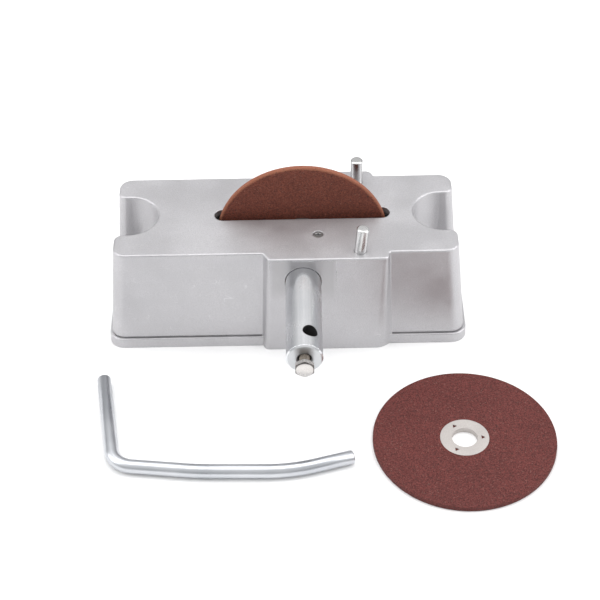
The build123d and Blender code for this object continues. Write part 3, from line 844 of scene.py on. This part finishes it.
# %% Spindle nut
nut_low, nut_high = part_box("spindle_nut")
nut_thick = nut_high.y - nut_low.y
skin = 0.00002
nut_across = min(nut_high.x - nut_low.x, nut_high.z - nut_low.z) - 2 * skin
nut_side = hexagon(nut_across)
nut_crown = nut_across / 2 - 0.0003
lost = lambda angle: 0.0002 + 0.6 * max(0.0, nut_side(angle) - nut_crown)
bore, sink = 0.00606, 0.0006
nut_profile = [
    (bore, sink), (bore + sink, skin), (nut_crown, skin), (nut_side, lost),
    (nut_side, lambda angle: nut_thick - lost(angle)), (nut_crown, nut_thick - skin),
    (bore + sink, nut_thick - skin), (bore, nut_thick - sink),
]
at_nut = facing_front((spindle_x, nut_high.y, spindle_z))
if nut_high.z - nut_low.z > nut_high.x - nut_low.x:
    at_nut = at_nut @ Matrix.Rotation(math.pi / 6, 4, "Z")
nut = turned("spindle_nut", nut_profile, closed=True, around=120)
show(nut, "spindle_nut_turned", "spindle", zinc_spindle, ["spindle_nut"], at_nut)

# %% [markdown]
# A spring washer is one turn of square wire, cut through and pressed nearly flat by the nut. A
# spiral curve with a little height and a square section is exactly that.

# %% Geometry Nodes: spring washer
coil, given, result = new_shape_tree("spring_washer", {
    "Middle radius": 0.0075, "Rise": 0.0003, "Width": 0.003,
    "Thickness": 0.0018, "Turns": 0.966, "Material": None,
})
spiral = put(coil, "GeometryNodeCurveSpiral", {
    "Resolution": 72, "Rotations": given["Turns"], "Start Radius": given["Middle radius"],
    "End Radius": given["Middle radius"], "Height": given["Rise"],
})
section = put(coil, "GeometryNodeCurvePrimitiveQuadrilateral", {
    "Width": given["Width"], "Height": given["Thickness"],
})
wire = put(coil, "GeometryNodeCurveToMesh", {
    "Curve": spiral, "Profile Curve": section, "Fill Caps": True,
})
end_with(coil, wire.outputs[0], given["Material"], result)
spring_low, spring_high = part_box("spring_washer")
spring_outer = (spring_high.x - spring_low.x) / 2
spring_inner = 0.00608
rise = 0.0003
washer = grow(coil, {
    "Middle radius": (spring_outer + spring_inner) / 2 - 0.00002,
    "Width": spring_outer - spring_inner - 0.0001, "Rise": rise,
    "Thickness": spring_high.y - spring_low.y - rise - 0.0001, "Material": bright_steel,
})
at_spring = facing_front((spindle_x, (spring_low.y + spring_high.y) / 2 + rise / 2, spindle_z))
at_spring = at_spring @ Matrix.Rotation(math.radians(96), 4, "Z")
show(smooth(washer, 30), "spring_washer_coil", "spindle", None, ["spring_washer"], at_spring)

# %% [markdown]
# A grinding disc is moulded flat, with a shallow seat for the hub ring in each face. Its blank is
# turned here a tenth of a millimetre under size. Then a Geometry Nodes tree strews grains over
# it: points on the faces, a small coarse lump on each, turned and sized at random. The lumps
# give the rim its crumbly outline, which a texture alone can't do.

# %% Geometry Nodes: abrasive grains
grit, given, result = new_shape_tree("abrasive_grains", {
    "Grains per square metre": 300000.0, "Grain size": 0.0003,
    "Keep off radius": 0.0135, "Seed": 3, "Material": None,
})
place = put(grit, "GeometryNodeInputPosition").outputs[0]
hub_distance = vector(grit, "LENGTH", vector(grit, "MULTIPLY", place, (1.0, 1.0, 0.0)))
points = put(grit, "GeometryNodeDistributePointsOnFaces", {
    "Mesh": given["Geometry"], "Density": given["Grains per square metre"], "Seed": given["Seed"],
})
near_hub = put(grit, "FunctionNodeCompare", {
    0: hub_distance, 1: given["Keep off radius"],
}, data_type="FLOAT", operation="LESS_THAN")
kept = put(grit, "GeometryNodeDeleteGeometry", {
    "Geometry": points.outputs["Points"], "Selection": near_hub,
})
lump = put(grit, "GeometryNodeMeshIcoSphere", {
    "Radius": times(grit, given["Grain size"], 0.5), "Subdivisions": 1,
})
any_turn, any_size = [
    put(grit, "FunctionNodeRandomValue", {0: low, 1: high, "Seed": given["Seed"]}, data_type="FLOAT_VECTOR")
    for low, high in (((0, 0, 0), (6.283, 6.283, 6.283)), ((0.45, 0.45, 0.35), (1.0, 1.0, 0.75)))
]
strewn = put(grit, "GeometryNodeInstanceOnPoints", {
    "Points": kept, "Instance": lump.outputs["Mesh"], "Rotation": any_turn,
    "Scale": any_size,
})
both = put(grit, "GeometryNodeJoinGeometry", {0: given["Geometry"]})
grit.links.new(strewn.outputs[0], both.inputs[0])
end_with(grit, both.outputs[0], given["Material"], result)
print("abrasive_grains:", len(grit.nodes), "nodes")

# %% [markdown]
# The fitted disc is worn, so its rim is rounder. Each disc strews its grains from its own seed.


# %% Grinding discs
def grinding_disc(name, node, radius, rim_round, body, finish, at, seed):
    sunk = 0.00012
    half = disc_thick / 2
    seat_radius, seat_depth, hole = 0.01333, 0.0005, 0.00722
    outer = radius - sunk
    arc = [
        (outer - rim_round + rim_round * math.cos(a), half - sunk - rim_round + rim_round * math.sin(a))
        for a in (math.radians(d) for d in (0, 22, 45, 68, 90))
    ]
    seat = half - seat_depth - 0.00002
    upper = arc + [(seat_radius, half - sunk), (seat_radius, seat), (hole, seat)]
    profile = upper + [(r, -z) for r, z in reversed(upper)]
    blank = turned(name, profile, closed=True, around=160)
    grains = grow(grit, {
        "Grains per square metre": 270000.0, "Grain size": 0.00024, "Seed": seed, "Material": finish,
    }, blank)
    grains.shade_smooth()
    grains.set_sharp_from_angle(angle=math.radians(35))
    return show(grains, name, body, None, [node], at)


to_spindle = facing_front(fitted_centre)
grinding_disc("worn_disc", "fitted_disc", fitted_radius, 0.0008, "spindle", worn_abrasive, to_spindle, 5)
to_bench = Matrix.Translation(spare_centre)
grinding_disc("new_disc", "spare_disc", spare_radius, 0.0004, "spare_disc", new_abrasive, to_bench, 8)

# %% [markdown]
# The two hub rings of a disc are joined through its bore by a thin sleeve whose edge is pressed
# down in small teeth. The sleeve is turned, and on the spare disc a tree repeats one tooth round it.

# %% Geometry Nodes: crimped sleeve
crimps, given, result = new_shape_tree("crimped_teeth", {
    "Teeth": 28, "Radius": 0.00704, "Tooth": (0.00025, 0.0005, 0.0012),
    "Height": 0.001, "Material": None,
})
circle = put(crimps, "GeometryNodeMeshCircle", {"Vertices": given["Teeth"], "Radius": given["Radius"]})
spot = parts(crimps, put(crimps, "GeometryNodeInputPosition").outputs[0])
spin = put(crimps, "ShaderNodeCombineXYZ", {2: maths(crimps, "ARCTAN2", spot[1], spot[0])})
lift = put(crimps, "ShaderNodeCombineXYZ", {2: given["Height"]}).outputs[0]
lifted = put(crimps, "GeometryNodeSetPosition", {"Geometry": circle, "Offset": lift})
tooth = put(crimps, "GeometryNodeMeshCone", {
    "Vertices": 6, "Side Segments": 1, "Radius Top": 0.35, "Radius Bottom": 0.55, "Depth": 1.0,
})
toothed = put(crimps, "GeometryNodeInstanceOnPoints", {
    "Points": lifted, "Instance": tooth.outputs["Mesh"], "Rotation": spin,
    "Scale": given["Tooth"],
})
end_with(crimps, toothed.outputs[0], given["Material"], result)

sleeve_in, sleeve_out, end = 0.00702, 0.00724, disc_thick / 2 - 0.00012
sleeve_profile = [(sleeve_in, -end), (sleeve_out, -end), (sleeve_out, end), (sleeve_in, end)]
for label, body, at in (("fitted", "spindle", to_spindle), ("spare", "spare_disc", to_bench)):
    sleeve = turned(label + "_sleeve", sleeve_profile, closed=True, around=96)
    show(sleeve, label + "_sleeve", body, ring_steel, (), at)
teeth = grow(crimps, {"Height": disc_thick / 2 - 0.0013, "Material": ring_steel})
show(smooth(teeth, 30), "spare_sleeve_teeth", "spare_disc", None, (), to_bench)

# %% [markdown]
# The crank is a length of round rod bent three times. Its path is drawn as straight legs with a
# bend radius kept at each corner. Geometry Nodes rounds the corners with Fillet Curve and
# sweeps a circle along, smaller at the last points, so that the ends come out eased.

# %% Geometry Nodes: bent rod
bent, given, result = new_shape_tree("bent_rod", {
    "Rod radius": 0.0039, "Around": 40, "Steps in a bend": 14,
    "Material": None,
})
line = put(bent, "GeometryNodeMeshToCurve", {"Mesh": given["Geometry"]})
corner = put(bent, "GeometryNodeInputNamedAttribute", {"Name": "bend"}, data_type="FLOAT")
filleted = put(bent, "GeometryNodeFilletCurve", {
    "Curve": line, "Count": given["Steps in a bend"], "Radius": corner,
    "Limit Radius": False,
}, mode="POLY")
size = put(bent, "GeometryNodeInputNamedAttribute", {"Name": "thickness"}, data_type="FLOAT")
length_along = put(bent, "GeometryNodeSplineParameter").outputs["Length"]
marked = put(bent, "GeometryNodeStoreNamedAttribute", {
    "Geometry": filleted, "Name": "along", "Value": length_along,
}, data_type="FLOAT", domain="POINT")
circle = put(bent, "GeometryNodeCurvePrimitiveCircle", {
    "Resolution": given["Around"], "Radius": given["Rod radius"],
})
round_factor = put(bent, "GeometryNodeSplineParameter").outputs["Factor"]
circle_marked = put(bent, "GeometryNodeStoreNamedAttribute", {
    "Geometry": circle, "Name": "around", "Value": round_factor,
}, data_type="FLOAT", domain="POINT")
sweep = put(bent, "GeometryNodeCurveToMesh", {
    "Curve": marked, "Profile Curve": circle_marked,
    "Scale": size, "Fill Caps": True,
})
end_with(bent, sweep.outputs[0], given["Material"], result)
print("bent_rod:", len(bent.nodes), "nodes")

# %% [markdown]
# The path is walked leg by leg from the rod's free end: each leg has a length, and each corner
# a turn and a radius.

# %% Crank rod
rod_low, rod_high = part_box("crank_rod")
rod_radius = (rod_high.z - rod_low.z) / 2
rod_start = Vector((-0.1042, -0.0696, rod_radius))
rod_angle = math.radians(-81.3)
legs = (0.0664, 0.0460, 0.0500, 0.0345)
turns = (74.5, 5.5, 17.5, 0.0)
bends = (0.013, 0.150, 0.090)
corners = [rod_start]
for leg, bend in zip(legs, turns):
    corners.append(corners[-1] + leg * Vector((math.cos(rod_angle), math.sin(rod_angle), 0)))
    rod_angle += math.radians(bend)
first, last = (corners[1] - corners[0]).normalized(), (corners[-1] - corners[-2]).normalized()
ease = [(0.0, 0.80), (0.00025, 0.90), (0.0008, 1.0)]
path = [(corners[0] + first * d, 0.0, s) for d, s in ease]
path += [(corner, radius, 1.0) for corner, radius in zip(corners[1:-1], bends)]
path += [(corners[-1] - last * d, 0.0, s) for d, s in reversed(ease)]
skeleton = bpy.data.meshes.new("rod_path")
skeleton.from_pydata([p for p, _, _ in path], [(i, i + 1) for i in range(len(path) - 1)], [])
skeleton.attributes.new("bend", "FLOAT", "POINT").data.foreach_set("value", [b for _, b, _ in path])
skeleton.attributes.new("thickness", "FLOAT", "POINT").data.foreach_set("value", [s for _, _, s in path])
crank = grow(bent, {
    "Rod radius": rod_radius, "Around": 48, "Steps in a bend": 16, "Material": zinc_rod,
}, skeleton)
show(smooth(crank, 40), "crank_rod_bent", "crank_rod", None, ["crank_rod"])

# %% [markdown]
# The light is a plain studio: a large soft panel overhead, a softer one on each side, and a
# surrounding that is bright above and greyer near the horizon, because shiny metal only shows
# its shape when it has something darker to mirror. The floor is matt and nearly white.

# %% Floor and light
floor_mesh = bpy.data.meshes.new("floor")
reach = 6.0
floor_corners = [(reach * x, reach * y, 0) for x, y in ((-1, -1), (1, -1), (1, 1), (-1, 1))]
floor_mesh.from_pydata(floor_corners, [], [(0, 1, 2, 3)])
floor_paper, tree, surface, where = new_finish("floor_paper", Roughness=0.9, Specular_IOR_Level=0.1)
fibres = put(tree, "ShaderNodeTexNoise", {"Vector": where, "Scale": 400.0, "Detail": 4.0}).outputs[0]
white = blend(tree, fibres, (0.90, 0.90, 0.90, 1), (0.93, 0.93, 0.93, 1))
tree.links.new(white, surface["Base Color"])
floor_mesh.materials.append(floor_paper)
floor = bpy.data.objects.new("floor", floor_mesh)
floor.location.z = -0.00002
bpy.context.scene.collection.objects.link(floor)


def soft_panel(name, place, size, power):
    light = bpy.data.lights.new(name, "AREA")
    light.shape, light.size, light.size_y, light.energy = "RECTANGLE", size[0], size[1], power
    panel = bpy.data.objects.new(name, light)
    bpy.context.scene.collection.objects.link(panel)
    panel.location = place
    panel.rotation_euler = (Vector((0, 0, 0.03)) - Vector(place)).to_track_quat("-Z", "Y").to_euler()
    print(name, "at", place, power, "W")


soft_panel("overhead_panel", (0.0, 0.12, 1.25), (1.5, 1.0), 9.0)
soft_panel("left_panel", (-1.1, -0.15, 0.65), (0.7, 1.0), 5.5)
soft_panel("right_panel", (1.1, -0.15, 0.65), (0.7, 1.0), 7.0)

world = bpy.data.worlds.new("studio")
bpy.context.scene.world = world
world.use_nodes = True
sky = world.node_tree
direction = put(sky, "ShaderNodeTexCoord").outputs["Generated"]
up = parts(sky, direction)[2]
ramp = put(sky, "ShaderNodeValToRGB", {0: up})
stops = ramp.color_ramp.elements
stops[0].position, stops[0].color = 0.0, (0.50, 0.505, 0.515, 1)
stops[1].position, stops[1].color = 0.62, (1.0, 0.995, 1.0, 1)
middle = stops.new(0.35)
middle.color = (0.66, 0.66, 0.67, 1)
sky.links.new(ramp.outputs[0], sky.nodes["Background"].inputs["Color"])
sky.nodes["Background"].inputs["Strength"].default_value = 0.85
bpy.context.scene.view_settings.view_transform = "Standard"
print("studio lit")

# %% [markdown]

# %% Finish
print("dressing done")
